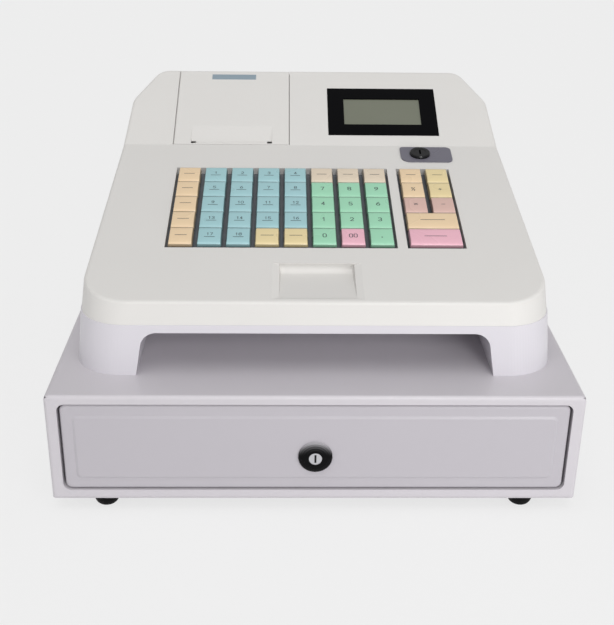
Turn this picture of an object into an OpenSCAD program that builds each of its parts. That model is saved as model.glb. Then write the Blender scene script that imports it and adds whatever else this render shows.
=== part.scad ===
// Electronic ticket register on a steel cash drawer.
// Millimetres. X to the right, Y towards the back, Z up; the origin is on the floor,
// under the middle of the whole object.

/* [Cabinet] */
// Width of the drawer cabinet
cab_w = 410; // [390:1:450]
// Depth of the drawer cabinet, front face to rear wall
cab_d = 415; // [405:1:450]
// Height of the cabinet without its feet
cab_h = 91.5; // [88:0.5:105]
// Thickness of the folded steel sheet
sheet_t = 1.2; // [0.8:0.1:1.6]
// Radius of the cabinet's folded top edges
cab_edge_r = 4; // [2:0.5:6]
// Radius of the cabinet's front edge
front_edge_r = 3; // [1:0.5:4]
// Width of the frame beside the drawer opening
frame_side = 9.4; // [9:0.1:14]
// Height of the frame above the drawer opening
frame_top = 7; // [6:0.5:12]
// Height of the frame below the drawer opening
frame_bottom = 8.5; // [6:0.5:12]
// Radius of the drawer opening's corners
opening_r = 6; // [3:0.5:9]
// Depth of the folded edge around the drawer opening
opening_fold = 12; // [6:1:16]
// Height of the folded flange along the base pan
pan_flange = 14; // [10:1:17]

/* [Feet] */
// Height of a rubber foot
foot_h = 11; // [9:0.5:16]
// Radius of a foot at its top
foot_r = 10.5; // [9:0.5:13]
// Radius of the flat that a foot stands on
foot_flat_r = 6.5; // [5.5:0.5:8]
// From the cabinet's side to a foot's centre
foot_in_x = 40; // [30:1:60]
// From the cabinet's front or rear to a foot's centre
foot_in_y = 15; // [14:1:40]
// Radius of a foot screw's shank
foot_screw_r = 1.9; // [1.5:0.1:2.4]
// Height of the screw's head above the foot's sole
foot_screw_sink = 3; // [2:0.5:4]
// Thickness of the foot screw's head
foot_head_t = 2; // [1.5:0.1:2.5]

/* [Counter holes] */
// Spacing of the fixing holes in the base pan, across
counter_x = 240; // [180:5:280]
// Spacing of the fixing holes in the base pan, front to back
counter_y = 260; // [200:5:300]
// Radius of a fixing hole
counter_r = 2.75; // [2:0.25:3.5]

/* [Drawer] */
// Gap at each side of the drawer front
front_gap_x = 1.8; // [1:0.1:4]
// Gap above and below the drawer front
front_gap_z = 1.2; // [0.8:0.1:3]
// Depth of the drawer front's folded edges
front_fold = 12; // [8:1:16]
// Radius of the drawer front's edges
front_r = 2; // [1:0.5:3]
// Margin around the raised field of the drawer front
field_margin = 9; // [7:0.5:14]
// Height of the raised field
field_step = 0.8; // [0.5:0.1:1.5]
// Width of the slope around the raised field
field_bevel = 2; // [1:0.5:4]
// Room behind the steel tray, for the latch and the spring
tray_room = 45; // [42:1:60]
// Height of the steel tray's walls
tray_h = 62; // [56:1:66]
// Thickness of the tray's sheet
tray_t = 1; // [0.8:0.1:1.4]

/* [Slides] */
// Thickness of a telescopic slide
slide_w = 12.7; // [12:0.1:14]
// Height of the outer rail
rail_h = 45; // [40:1:50]
// Thickness of a rail's steel
rail_t = 1.2; // [1:0.1:1.5]
// From a rail's rear end to the rear wall of the tray
rail_short = 6.6; // [1:0.2:24]
// Height of the slides' centre line above the tray's floor
rail_z = 30; // [28:1:34]
// Width of a slide bracket
bracket_w = 30; // [20:1:40]

/* [Drawer lock] */
// Height of the lock's centre above the cabinet's underside
lock_h = 39.2; // [36:0.2:44]
// Radius of the lock's domed ring
lock_ring_r = 13.3; // [12:0.1:15]
// How far the ring stands out of the drawer front
lock_proud = 4; // [3:0.5:5]
// Radius of the lock's barrel
lock_barrel_r = 9.5; // [8:0.1:10.5]
// Length of the lock's barrel behind the drawer front
lock_len = 30; // [24:1:32]
// Radius of the plug that the key turns
plug_r = 5; // [4:0.1:6]
// Reach of the cam from the plug's centre
cam_reach = 22; // [16:1:24]

/* [Till] */
// Height of the till tray
till_h = 57.5; // [50:0.5:58]
// Wall of the till tray and its dividers
till_wall = 2.2; // [1.8:0.1:3]
// Room between the drawer front and the till tray, for the lock
till_front = 40; // [38:1:46]
// Number of bill bays, and of coin cups in a row
bays = 4; // [4:1:4]
// Depth of the coin tray, front to back
coin_d = 160; // [140:2:164]
// Wall of a coin cup
cup_wall = 1.8; // [1.5:0.1:2.2]
// Length of a bill clip from its rod to its foot
clip_len = 80; // [70:1:90]
// Radius of the rod that the bill clips turn on
clip_rod_r = 2; // [1.5:0.1:2.5]
// Width of a bill clip's hub
clip_hub_w = 26; // [20:1:32]

/* [Release] */
// Height of the latch's pivot above the base pan's floor
latch_h = 46; // [44:1:50]
// Radius of the latch's pivot pin
latch_pin_r = 2; // [1.5:0.1:2.5]
// Thickness of the latch hook
hook_t = 4; // [3:0.5:5]
// Radius of the solenoid's plunger
plunger_r = 3; // [2.5:0.1:3.5]
// Radius of the eject spring's coil, to the middle of the wire
spring_r = 6; // [5:0.5:8]
// Radius of the eject spring's wire
spring_wire_r = 0.7; // [0.5:0.1:1]
// Turns of the eject spring
spring_turns = 9; // [6:1:10]

/* [Register case] */
// Half the case's width where it meets the cabinet
case_half = 189; // [184:0.5:191]
// Lean of the case's sides
side_draft = 6.3; // [5:0.1:7]
// From the cabinet's front to the case's front
case_set = 35; // [28:1:40]
// Lean of the case's rear wall
rear_draft = 4.4; // [3:0.1:5]
// Radius of the case's front corners in plan
case_corner_r = 37; // [30:1:42]
// Height of the joint line above the cabinet's top
parting_h = 42.5; // [40:0.5:46]
// How far the lower case stands out at the joint line
parting_lip = 0.7; // [0.4:0.1:1]
// Height of the key plane's front edge above the cabinet's top
crease_h = 60; // [57:0.5:64]
// Slope of the key plane
key_slope = 13; // [12:0.5:14]
// Length of the key plane from its front edge to the head
key_plane_len = 246.8; // [244:0.2:250]
// Slope of the head
head_slope = 26; // [25:0.5:27]
// Length of the head's slope
head_len = 111; // [109:0.5:112]
// Wall of the plastic cases
case_wall = 2.6; // [2.2:0.1:3]
// Radius along the upper case's edges
case_edge_r = 3; // [1.5:0.5:4]

/* [Front arch] */
// Half the width of the arch at its foot
arch_half = 139.4; // [130:0.2:144]
// Height of the arch
arch_h = 36; // [30:0.5:37.5]
// Depth of the arch
arch_d = 78; // [40:1:90]
// Radius of the arch's corners
arch_r = 13; // [8:0.5:16]
// How far the arch's sides lean in
arch_lean = 6.2; // [2:0.1:9]

/* [Keyboard] */
// Spacing of the key columns
key_pitch_x = 23.7; // [22.8:0.1:23.9]
// Spacing of the key rows
key_pitch_y = 24.9; // [24.6:0.1:25.2]
// Middle of the main block of keys, from the case's middle
main_x = -26.9; // [-29:0.1:-26.4]
// Middle of the right block of keys, from the case's middle
right_x = 100.6; // [100:0.2:104]
// First row's centre along the key plane
first_row = 89.5; // [88:0.5:92]
// Width of a key at its skirt
key_w = 20.2; // [18:0.1:20.8]
// Depth of a key at its skirt
key_d = 23.5; // [20:0.1:24.3]
// How far a key's left and right sides lean in
key_taper = 0.9; // [0.4:0.1:1.5]
// How far a key's front and rear sides lean in
key_taper_y = 0.3; // [0.1:0.1:1]
// Bevel around a key's top
key_edge = 0.6; // [0.2:0.1:1]
// Height of a key's top above the key plane
key_top = 2.6; // [2:0.1:5]
// Depth of a key's skirt below the key plane
key_skirt = 1.4; // [1:0.1:1.6]
// Width of a key's square stem
stem_w = 8; // [6:0.2:10]
// How far a key travels
key_travel = 2.8; // [2:0.1:3]
// Gap between the outer keys and the sides of their well
well_gap = 2.2; // [0.8:0.1:2.6]
// Gap between the outer keys and the ends of their well
well_gap_y = 3; // [0.8:0.1:3.6]
// Wall around a well, down to the key plate
well_wall = 1.8; // [1.2:0.1:2.4]
// Depth from the key plane to the top of the key plate
plate_depth = 6.4; // [5:0.1:7]

/* [Finger notch] */
// Width of the notch in front of the keys
notch_w = 60; // [40:1:70]
// Middle of the notch, from the case's middle
notch_x = 1.5; // [-4:0.5:4]
// Front end of the notch along the key plane
notch_s0 = 8.6; // [8:0.2:14]
// Length of the notch along the key plane
notch_len = 44.7; // [36:0.1:48]
// Depth of the notch at its rear wall
notch_depth = 8; // [6:0.5:10]
// Radius in which the notch's floor turns up into its rear wall
notch_r = 4.4; // [2:0.2:5]
// How far the notch's rear wall reaches back under its edge
notch_under = 0.8; // [0:0.1:1.5]
// Depth of the shallow border around the notch
rim_t = 1.2; // [0.5:0.1:1.6]
// Width of the border at the notch's sides
rim_w = 5.5; // [2:0.5:8]

/* [Mode switch] */
// Width of the mode switch's plate
mode_w = 47.5; // [40:0.5:50]
// Depth of the mode switch's plate
mode_d = 27; // [22:0.5:28]
// Middle of the plate, from the case's middle
mode_x = 106.8; // [104:0.2:108]
// Middle of the plate along the key plane
mode_s = 229.2; // [227:0.2:230]
// Radius of the mode lock's ring
mode_r = 9.5; // [8:0.1:10]

/* [Display] */
// Width of the black display bezel
bezel_w = 105.4; // [98:0.2:108]
// Height of the black display bezel
bezel_d = 69; // [64:0.5:72]
// Middle of the bezel, from the case's middle
bezel_x = 69.7; // [68:0.1:72]
// Middle of the bezel along the head
bezel_s = 49.3; // [48:0.1:50]
// Width of the window in the bezel
lcd_w = 74.5; // [66:0.5:80]
// Height of the window in the bezel
lcd_d = 38.4; // [34:0.2:42]

/* [Printer] */
// Left edge of the printer lid
lid_x0 = -129.6; // [-132:0.2:-126]
// Right edge of the printer lid
lid_x1 = -20.4; // [-24:0.2:-18]
// Gap around the lid
lid_gap = 0.4; // [0.3:0.1:0.6]
// Thickness of the lid
lid_t = 2.4; // [2:0.1:3]
// Bevel along the lid's sides
lid_edge = 1; // [0.4:0.1:1.4]
// Radius of the lid's rear knuckle
lid_knuckle_r = 3.4; // [3:0.1:4.5]
// Width of the paper slot
slot_w = 76.5; // [62:0.5:80]
// Length of the slot's wider ends
slot_end = 4.6; // [2.4:0.2:5]
// Length of the slope that leads to the paper slot
slot_ramp = 23; // [16:1:26]
// Depth of the slope at the paper slot
slot_ramp_depth = 1.8; // [1:0.1:2]
// Width of the paper roll
roll_w = 57; // [44:1:58]
// Radius of a full paper roll
roll_r = 25; // [20:0.5:25]
// Radius of the platen roller
platen_r = 6; // [5:0.1:6.5]
// Gear module
gear_m = 0.6; // [0.6:0.1:0.6]
// Teeth on the platen gear
platen_teeth = 30; // [30:1:30]
// Teeth on the motor gear
motor_teeth = 12; // [12:1:12]

/* [Rear] */
// Width of the port panel
port_w = 116; // [110:1:130]
// Height of the port panel
port_h = 26; // [24:1:30]
// Width of the customer display's window
cust_w = 96; // [80:1:104]
// Height of the customer display's window
cust_h = 26; // [20:1:30]

/* [Hidden] */

$fn = 48;
// Clearance between pieces that don't move against each other
fit = 0.2;
// Clearance between pieces that move against each other
run_gap = 0.3;
// Radial clearance of a shaft in its bore
bore_gap = 0.05;
// A little more than nothing, for cuts that pass a face
// Thickness of the thin slices that a rounded hull is made from
slice = 0.02;

c_paint = [0.78, 0.765, 0.79];
c_zinc = [0.72, 0.73, 0.75];
c_rubber = [0.06, 0.06, 0.065];
c_black = [0.09, 0.09, 0.1];
c_case = [0.87, 0.86, 0.85];
c_board = [0.12, 0.36, 0.2];
c_peach = [0.9, 0.74, 0.56];
c_blue = [0.55, 0.76, 0.78];
c_yellow = [0.91, 0.82, 0.55];
c_green = [0.55, 0.84, 0.66];
c_pink = [0.9, 0.6, 0.74];

// Cabinet levels
front_y = -(cab_d - lock_proud) / 2;
rear_y = front_y + cab_d;
cab_z0 = foot_h;
cab_z1 = cab_z0 + cab_h;
pan_z1 = cab_z0 + sheet_t;
inner_half = cab_w / 2 - sheet_t;
open_half = cab_w / 2 - frame_side;
open_z0 = cab_z0 + frame_bottom;
open_z1 = cab_z1 - frame_top;

// Drawer
panel_w = 2 * (open_half - front_gap_x);
panel_h = open_z1 - open_z0 - 2 * front_gap_z;
panel_zc = (open_z0 + open_z1) / 2;
panel_z0 = panel_zc - panel_h / 2;
rail_xo = open_half - 2 * run_gap;
tray_half = rail_xo - slide_w;
tray_y0 = front_y + field_step + sheet_t;
tray_y1 = rear_y - tray_room;
tray_d = tray_y1 - tray_y0;
tray_z0 = panel_z0 + sheet_t + fit;
tray_floor = tray_z0 + tray_t;
rail_zc = tray_z0 + rail_z;
rail_y0 = front_y + front_fold + sheet_t + fit;
rail_len = tray_y1 - rail_short - rail_y0;
rail_mid_h = rail_h - 2 * rail_t - 2 * run_gap;
rail_in_h = rail_mid_h - 2 * rail_t - 2 * run_gap;
lock_z = cab_z0 + lock_h;
cam_t = 2;

// Till
till_half = tray_half - tray_t - fit;
till_y0 = front_y + till_front;
till_y1 = tray_y1 - tray_t - fit;
till_z0 = tray_floor + fit / 2;
till_z1 = till_z0 + till_h;
till_floor = till_z0 + till_wall;
pocket_half = till_half - till_wall;
pocket_y0 = till_y0 + till_wall;
pocket_y1 = pocket_y0 + coin_d;
bill_y0 = pocket_y1 + till_wall;
bill_y1 = till_y1 - till_wall;
bay_pitch = (2 * till_half - till_wall) / bays;
coin_half = pocket_half - fit;
cup_rows = 2;
cup_pitch_x = (2 * coin_half - till_wall) / bays;
cup_pitch_y = (coin_d - 2 * fit - till_wall) / cup_rows;
cup_r = (cup_pitch_y - till_wall) / 2;
cup_zc = till_floor + fit / 2 + cup_wall + cup_r;
// The clips' rod lies this far in front of the till's rear wall and below its rim
clip_in_y = 10;
clip_in_z = 9;
clip_y = bill_y1 - clip_in_y;
clip_z = till_z1 - clip_in_z;
clip_foot_r = 4;
clip_angle = asin((clip_z - clip_foot_r - run_gap - till_floor) / clip_len);

// Release
latch_back = 20;
striker_back = 10;
latch_y = tray_y1 + latch_back;
latch_z = pan_z1 + latch_h;
striker_y = tray_y1 + striker_back;
striker_r = 2;
striker_z = latch_z - 7.4;
cheek_t = 1.5;
bracket_half = 16;
bracket_t = 1.5;
solenoid_y = latch_y + 12.5;
solenoid_top = latch_z - 20;
plunger_z = pan_z1 + 6;

// Register case
case_y0 = front_y + case_set;
parting_z = cab_z1 + parting_h;
front_step = 3;
crease_y = case_y0 + front_step;
crease_z = cab_z1 + crease_h;
kink_y = crease_y + key_plane_len * cos(key_slope);
kink_z = crease_z + key_plane_len * sin(key_slope);
ridge_y = kink_y + head_len * cos(head_slope);
ridge_z = kink_z + head_len * sin(head_slope);
// The rear wall stands this far behind the end of the head's slope
ridge_room = 1.13;
ridge_s = head_len + 1;
case_y1 = ridge_y + ridge_room + tan(rear_draft) * (ridge_z - cab_z1);
rear_side_r = 30;
rear_r = 16;
rear_cut_x = 26;
rear_cut_y = 44;

// Keyboard
block_cols = 8;
rows = 5;
well_w = block_cols * key_pitch_x - (key_pitch_x - key_w) + 2 * well_gap;
right_w = 2 * key_pitch_x - (key_pitch_x - key_w) + 2 * well_gap;
well_d = rows * key_pitch_y - (key_pitch_y - key_d) + 2 * well_gap_y;
well_s = first_row + (rows - 1) / 2 * key_pitch_y;
wide_w = key_pitch_x + key_w;
plate_t = 2;
stem_room = 1.7;
dome_h = 0.9;
mat_t = 1;
stem_bottom = plate_depth + plate_t + stem_room;
dome_top = stem_bottom + key_travel + run_gap;
mat_top = dome_top + dome_h;
board_t = 1.6;
board_rim = 5;
post_r = 2.5;
board_x0 = main_x - well_w / 2 - board_rim;
board_x1 = right_x + right_w / 2 + board_rim;
board_s0 = well_s - well_d / 2 - board_rim;
board_len = well_d + 2 * board_rim;

// Mode switch
mode_lock_x = mode_x - 5.8;
mode_barrel_r = 8;
mode_rotor_r = 5.5;
mode_plate_t = 1.2;
mode_barrel_len = 22;

// Main board and rear panel
post_h = 8;
pcb_x0 = -39;
pcb_y0 = 10;
pcb_w = 170;
pcb_d = 120;
post_in = 6;
pcb_posts = [for (x = [pcb_x0 + post_in, pcb_x0 + pcb_w - post_in],
  y = [pcb_y0 + post_in, pcb_y0 + pcb_d - post_in]) [x, y]];
// Chips on the main board: x, y, width, depth and height
chips = [[35, 40, 24, 24, 3], [75, 80, 30, 14, 4], [125, 35, 18, 18, 3], [135, 85, 20, 26, 12]];
port_x = 60;
port_z0 = 10;
port_t = 1.2;
port_lap = 4;
// Sockets in the rear panel: from its middle, width, height and depth
power_in = [-42, 9, 9, 12];
drawer_out = [-24, 12, 10, 12];
data_out = [-2, 18, 9, 10];
switch_in = 20;
switch_x = port_x + port_w / 2 - switch_in;
switch_w = 13;
switch_h = 10;
switch_box = 12;
switch_pin_r = 1.2;
switch_pivot = -case_wall - fit - 5;
cust_x = 66;
cust_z = 136;

// Printer
lid_pivot_s = ridge_s - lid_knuckle_r - 0.1;
lid_pin_r = 1.5;
roll_back = 53;
roll_drop = 22;
platen_back = 13;
platen_drop = 10;
roll_x = (lid_x0 + lid_x1) / 2;
roll_y = kink_y + roll_back;
roll_z = kink_z - roll_drop;
platen_y = kink_y + platen_back;
platen_z = kink_z - platen_drop;
platen_shaft_r = 2;
gear_w = 4;
gear_dist = gear_m * (platen_teeth + motor_teeth) / 2;
motor_front = 6;
motor_y = platen_y - motor_front;
motor_z = platen_z - sqrt(gear_dist * gear_dist - motor_front * motor_front);
gear_line = atan2(motor_z - platen_z, motor_y - platen_y);
motor_shaft_r = 1;
motor_r = 9;
motor_len = 11;
chassis_t = 1.5;
chassis_y0 = kink_y - 1;
bar_drop = 8;
bar_z = kink_z - bar_drop;
roll_room = 2.5;
chassis_x0 = roll_x - roll_w / 2 - roll_room;
chassis_x1 = roll_x + roll_w / 2 + roll_room;
gear_x = chassis_x0 - chassis_t - run_gap - gear_w;
cheek_low = kink_z - 14;
cradle_h = roll_r * 0.6 + 4;
leg_w = 6;

// ---------------------------------------------------------------- shared shapes

function arc(cx, cy, r, a0, a1, n = 6) =
  [for (i = [0:n]) let (a = a0 + (a1 - a0) * i / n) [cx + r * cos(a), cy + r * sin(a)]];

// Outline of a rectangle whose upper corners have radius r and lower corners radius rb
function plate_outline(w, h, r, rb) = concat(
  arc(w / 2 - r, h / 2 - r, r, 0, 90), arc(-w / 2 + r, h / 2 - r, r, 90, 180),
  arc(-w / 2 + rb, -h / 2 + rb, rb, 180, 270), arc(w / 2 - rb, -h / 2 + rb, rb, 270, 360));

// An outline of X and Z carried backwards from y
module upright(outline, y, depth) {
  translate([0, y + depth, 0])
    rotate([90, 0, 0])
      linear_extrude(depth)
        polygon(outline);
}

// An outline of Y and Z carried to the right from x
module sideways(outline, x, width) {
  translate([x, 0, 0])
    rotate([90, 0, 90])
      linear_extrude(width)
        polygon(outline);
}

// A solid through outlines of X and Z, front to back, each given with its y
module loft(rings) {
  n = len(rings[0][0]);
  last = len(rings) - 1;
  points = [for (g = rings, p = g[0]) [p[0], g[1], p[1]]];
  sides = [for (i = [0:last - 1], k = [0:n - 1]) let (a = i * n + k, b = i * n + (k + 1) % n)
    [a, b, b + n, a + n]];
  polyhedron(points, concat([[for (k = [n - 1:-1:0]) k]], sides,
    [[for (k = [0:n - 1]) last * n + k]]));
}

// The rings of a plate whose front edge has radius r
function rounded_rings(w, h, edge, r, rb, y, step) = [for (a = [0:step:90])
  let (inset = edge * (1 - sin(a)))
  [plate_outline(w - 2 * inset, h - 2 * inset, r, rb), y + edge * (1 - cos(a))]];

// A rod along X
module rod_x(r, x, len) {
  translate([x, 0, 0])
    rotate([0, 90, 0])
      cylinder(r = r, h = len);
}

// Both sides of the object
module both_sides() {
  children();
  mirror([1, 0, 0]) children();
}

// ---------------------------------------------------------------- cabinet

module cabinet_form() {
  translate([0, 0, (cab_z0 + cab_z1) / 2])
    loft(concat(rounded_rings(cab_w, cab_h, front_edge_r, cab_edge_r, 1, front_y, 22.5),
      [[plate_outline(cab_w, cab_h, cab_edge_r, 1), rear_y]]));
}

module cabinet_shell() color(c_paint) {
  difference() {
    union() {
      difference() {
        cabinet_form();
        translate([-inner_half, front_y + sheet_t, cab_z0 - 1])
          cube([2 * inner_half, cab_d, cab_h + 1 - sheet_t]);
      }
      opening(sheet_t, front_y + sheet_t / 2, opening_fold - sheet_t / 2);
    }
    opening(0, front_y - 1, opening_fold + 2);
  }
}

// The drawer opening, grown by g
module opening(g, y, depth)
  translate([0, 0, (open_z0 + open_z1) / 2])
    upright(plate_outline(2 * (open_half + g), open_z1 - open_z0 + 2 * g, opening_r + g, opening_r + g),
      y, depth);

module foot_places() {
  for (sx = [-1, 1], fy = [front_y + foot_in_y, rear_y - foot_in_y])
    translate([sx * (cab_w / 2 - foot_in_x), fy, 0]) children();
}

module cabinet_base() color(c_paint) {
  half = inner_half - fit;
  y0 = front_y + sheet_t + fit;
  difference() {
    union() {
      translate([-half, y0, cab_z0]) cube([2 * half, rear_y - y0, sheet_t]);
      both_sides() translate([half - sheet_t, y0, cab_z0]) cube([sheet_t, rear_y - y0, pan_flange]);
      translate([-half, rear_y - sheet_t, cab_z0]) cube([2 * half, sheet_t, cab_h - sheet_t - fit]);
    }
    foot_places() translate([0, 0, cab_z0 - 1]) cylinder(r = foot_screw_r + bore_gap, h = sheet_t + 2);
    for (sx = [-1, 1], sy = [-1, 1])
      translate([sx * counter_x / 2, sy * counter_y / 2, cab_z0 - 1])
        cylinder(r = counter_r, h = sheet_t + 2);
    // hole for the release lead
    translate([-cab_w / 4, rear_y - sheet_t - 1, cab_z0 + cab_h / 2])
      rotate([-90, 0, 0]) cylinder(r = 7, h = sheet_t + 2);
  }
}

module feet() color(c_rubber) {
  head_room = foot_screw_sink + foot_head_t;
  foot_places() difference() {
    rotate_extrude()
      polygon(concat([[0, 0], [foot_flat_r, 0]],
        [for (a = [15:15:75]) [foot_flat_r + (foot_r - foot_flat_r) * sin(a),
          (foot_h - 1) * (1 - cos(a))]],
        [[foot_r, foot_h - 1], [foot_r, foot_h], [0, foot_h]]));
    translate([0, 0, -1]) cylinder(r = foot_screw_r * 2, h = head_room + 1);
    cylinder(r = foot_screw_r + bore_gap, h = foot_h + 1);
  }
}

module foot_screws() color(c_zinc) foot_places() {
  translate([0, 0, foot_screw_sink]) cylinder(r = foot_screw_r * 1.8, h = foot_head_t);
  translate([0, 0, foot_screw_sink + foot_head_t])
    cylinder(r = foot_screw_r, h = pan_z1 - foot_screw_sink);
}

// ---------------------------------------------------------------- slides

// One right-hand rail: a channel whose web is at x0..x0+rail_t and whose flanges reach out to x1
module channel(x0, x1, h, web_out) {
  web_x = web_out ? x1 - rail_t : x0;
  translate([web_x, rail_y0, rail_zc - h / 2]) cube([rail_t, rail_len, h]);
  for (z = [rail_zc - h / 2, rail_zc + h / 2 - rail_t])
    translate([x0, rail_y0, z]) cube([x1 - x0, rail_len, rail_t]);
}

module rails_outer() color(c_zinc)
  both_sides() channel(rail_xo - slide_w + 2, rail_xo, rail_h, true);

module rails_middle() color(c_zinc)
  both_sides() channel(rail_xo - slide_w + 2, rail_xo - rail_t - run_gap, rail_mid_h, true);

module rails_inner() color(c_zinc)
  both_sides() channel(tray_half, rail_xo - 2 * rail_t - 2 * run_gap, rail_in_h, false);

module rail_brackets() color(c_zinc)
  both_sides()
    for (y = [rail_y0 + bracket_w, rail_y0 + rail_len - 2 * bracket_w])
      translate([rail_xo, y, rail_zc - rail_h / 2]) difference() {
        cube([inner_half - rail_xo, bracket_w, rail_h]);
        translate([rail_t, -1, rail_t]) cube([inner_half - rail_xo - 2 * rail_t, bracket_w + 2,
          rail_h - 2 * rail_t]);
      }

// ---------------------------------------------------------------- drawer

module drawer_front() color(c_paint) {
  y0 = front_y + field_step;
  field_w = panel_w - 2 * field_margin;
  field_h = panel_h - 2 * field_margin;
  corner = opening_r - front_gap_z;
  difference() {
    translate([0, 0, panel_zc]) union() {
      loft(concat(rounded_rings(panel_w, panel_h, front_r, corner, corner, y0, 30),
        [[plate_outline(panel_w, panel_h, corner, corner), y0 + front_fold]]));
      loft([[plate_outline(field_w - 2 * field_bevel, field_h - 2 * field_bevel, 3, 3), front_y],
        [plate_outline(field_w, field_h, 4, 4), y0],
        [plate_outline(field_w, field_h, 4, 4), y0 + sheet_t / 2]]);
    }
    translate([0, 0, panel_zc])
      upright(plate_outline(panel_w - 2 * sheet_t, panel_h - 2 * sheet_t, corner, corner),
        y0 + sheet_t, front_fold);
    on_lock() translate([0, 0, -lock_len]) cylinder(r = lock_barrel_r + fit, h = 2 * lock_len);
  }
}

module drawer_tray() color(c_zinc) {
  difference() {
    translate([-tray_half, tray_y0, tray_z0]) cube([2 * tray_half, tray_d, tray_h]);
    translate([-tray_half + tray_t, tray_y0 + tray_t, tray_floor])
      cube([2 * (tray_half - tray_t), tray_d - 2 * tray_t, tray_h]);
    on_lock() translate([0, 0, -lock_len]) cylinder(r = lock_barrel_r + fit, h = 2 * lock_len);
  }
  // striker that the latch hook catches: a bar riveted through two brackets
  cheek_half = hook_t / 2 + 4;
  cheek = [[tray_y1, striker_z - 15], [tray_y1, striker_z - 9], [striker_y - 1.3, striker_z + 1],
    [striker_y + striker_r + 0.5, striker_z + 1], [striker_y + striker_r + 0.5, striker_z - 3]];
  bar_half = cheek_half + cheek_t + 0.6;
  both_sides() sideways(cheek, cheek_half, cheek_t);
  translate([0, striker_y, striker_z]) rod_x(striker_r, -bar_half, 2 * bar_half);
}

// The lock's frame: Z points out of the drawer front
module on_lock() {
  translate([0, front_y, lock_z])
    rotate([90, 0, 0]) children();
}

module lock_housing() color(c_black) {
  bore = plug_r + bore_gap;
  dome = lock_ring_r - bore;
  on_lock() rotate_extrude()
    polygon(concat([[bore, -lock_len], [lock_barrel_r, -lock_len], [lock_barrel_r, slice],
      [lock_ring_r, slice]],
      [for (a = [15:15:75]) [bore + dome * cos(a), 1 + (lock_proud - 1) * sin(a)]],
      [[bore, lock_proud]]));
}

module lock_nut() color(c_zinc) {
  t = 3;
  on_lock() translate([0, 0, -(field_step + sheet_t + tray_t + slice) - t]) difference() {
    cylinder(r = lock_barrel_r + 4, h = t, $fn = 6);
    translate([0, 0, -1]) cylinder(r = lock_barrel_r + slice, h = t + 2);
  }
}

module lock_plug() color(c_zinc) {
  on_lock() difference() {
    translate([0, 0, -lock_len - 2]) cylinder(r = plug_r, h = lock_len + 2 + lock_proud - 0.3);
    translate([-0.8, -plug_r * 0.7, lock_proud - 8]) cube([1.6, plug_r * 1.4, 10]);
  }
}

module lock_cam() color(c_zinc) {
  on_lock() translate([0, 0, -lock_len - 2 - cam_t]) {
    cylinder(r = plug_r + 2.5, h = cam_t);
    translate([-5, -cam_reach, 0]) cube([10, cam_reach, cam_t]);
  }
}

// ---------------------------------------------------------------- till

// Floor, walls and bay plates slot together, and the clips' rod runs through the upright plates
module till_tray() color(c_black) {
  slot = fit / 2;
  wall_z = till_floor + slot;
  wall_h = till_z1 - wall_z;
  inner_half = pocket_half - slot;
  translate([-till_half, till_y0, till_z0])
    cube([2 * till_half, till_y1 - till_y0, till_floor - till_z0]);
  for (y = [[till_y0, pocket_y0], [pocket_y1, bill_y0], [bill_y1, till_y1]])
    translate([-inner_half, y[0], wall_z]) cube([2 * inner_half, y[1] - y[0], wall_h]);
  difference() {
    union() {
      both_sides() translate([pocket_half, till_y0, wall_z])
        cube([till_half - pocket_half, till_y1 - till_y0, wall_h]);
      for (i = [1:bays - 1])
        translate([-till_half + i * bay_pitch, bill_y0 + slot, wall_z])
          cube([till_wall, bill_y1 - bill_y0 - fit, wall_h]);
    }
    translate([0, clip_y, clip_z]) rod_x(clip_rod_r + bore_gap, -till_half - 1, 2 * till_half + 2);
  }
}

module coin_tray() color(c_black) {
  y0 = pocket_y0 + fit;
  difference() {
    for (r = [0:cup_rows - 1])
      translate([-coin_half, y0 + till_wall + cup_r + r * cup_pitch_y, 0]) {
        translate([0, 0, cup_zc]) rod_x(cup_r + cup_wall, 0, 2 * coin_half);
        translate([0, -cup_r - till_wall, cup_zc])
          cube([2 * coin_half, 2 * cup_r + 2 * till_wall, till_z1 - cup_zc]);
      }
    for (r = [0:cup_rows - 1], i = [0:bays - 1])
      translate([-coin_half + till_wall + i * cup_pitch_x,
        y0 + till_wall + cup_r + r * cup_pitch_y, cup_zc]) {
        rod_x(cup_r, 0, cup_pitch_x - till_wall);
        translate([0, -cup_r, 0]) cube([cup_pitch_x - till_wall, 2 * cup_r, till_h]);
      }
    translate([-till_half, till_y0, till_z1]) cube([2 * till_half, coin_d + 10, till_h]);
  }
}

module clip_rod() color(c_zinc)
  translate([0, clip_y, clip_z]) rod_x(clip_rod_r, -till_half, 2 * till_half);

module bill_clip(i) color(c_zinc) {
  arm_t = 2.4;
  hub_r = clip_rod_r + 2.4;
  translate([-till_half + till_wall + (i - 0.5) * bay_pitch - till_wall / 2, clip_y, clip_z])
    rotate([clip_angle, 0, 0]) difference() {
      union() {
        rod_x(hub_r, -clip_hub_w / 2, clip_hub_w);
        translate([-clip_hub_w / 3, -clip_len, -arm_t / 2])
          cube([clip_hub_w / 1.5, clip_len, arm_t]);
        translate([0, -clip_len, 0]) rod_x(clip_foot_r, -clip_hub_w / 2, clip_hub_w);
      }
      rod_x(clip_rod_r + bore_gap, -clip_hub_w, 2 * clip_hub_w);
    }
}

module bill_clip_1() bill_clip(1);
module bill_clip_2() bill_clip(2);
module bill_clip_3() bill_clip(3);
module bill_clip_4() bill_clip(4);

// ---------------------------------------------------------------- release

module latch_bracket() color(c_zinc) {
  ear = 7;
  translate([-bracket_half, latch_y - ear, pan_z1])
    cube([2 * bracket_half, rear_y - sheet_t - latch_y + ear, bracket_t]);
  both_sides() translate([bracket_half - bracket_t, latch_y - ear, pan_z1])
    cube([bracket_t, 24, latch_h + ear]);
  translate([0, latch_y, latch_z]) rod_x(latch_pin_r, -bracket_half, 2 * bracket_half);
}

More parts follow.
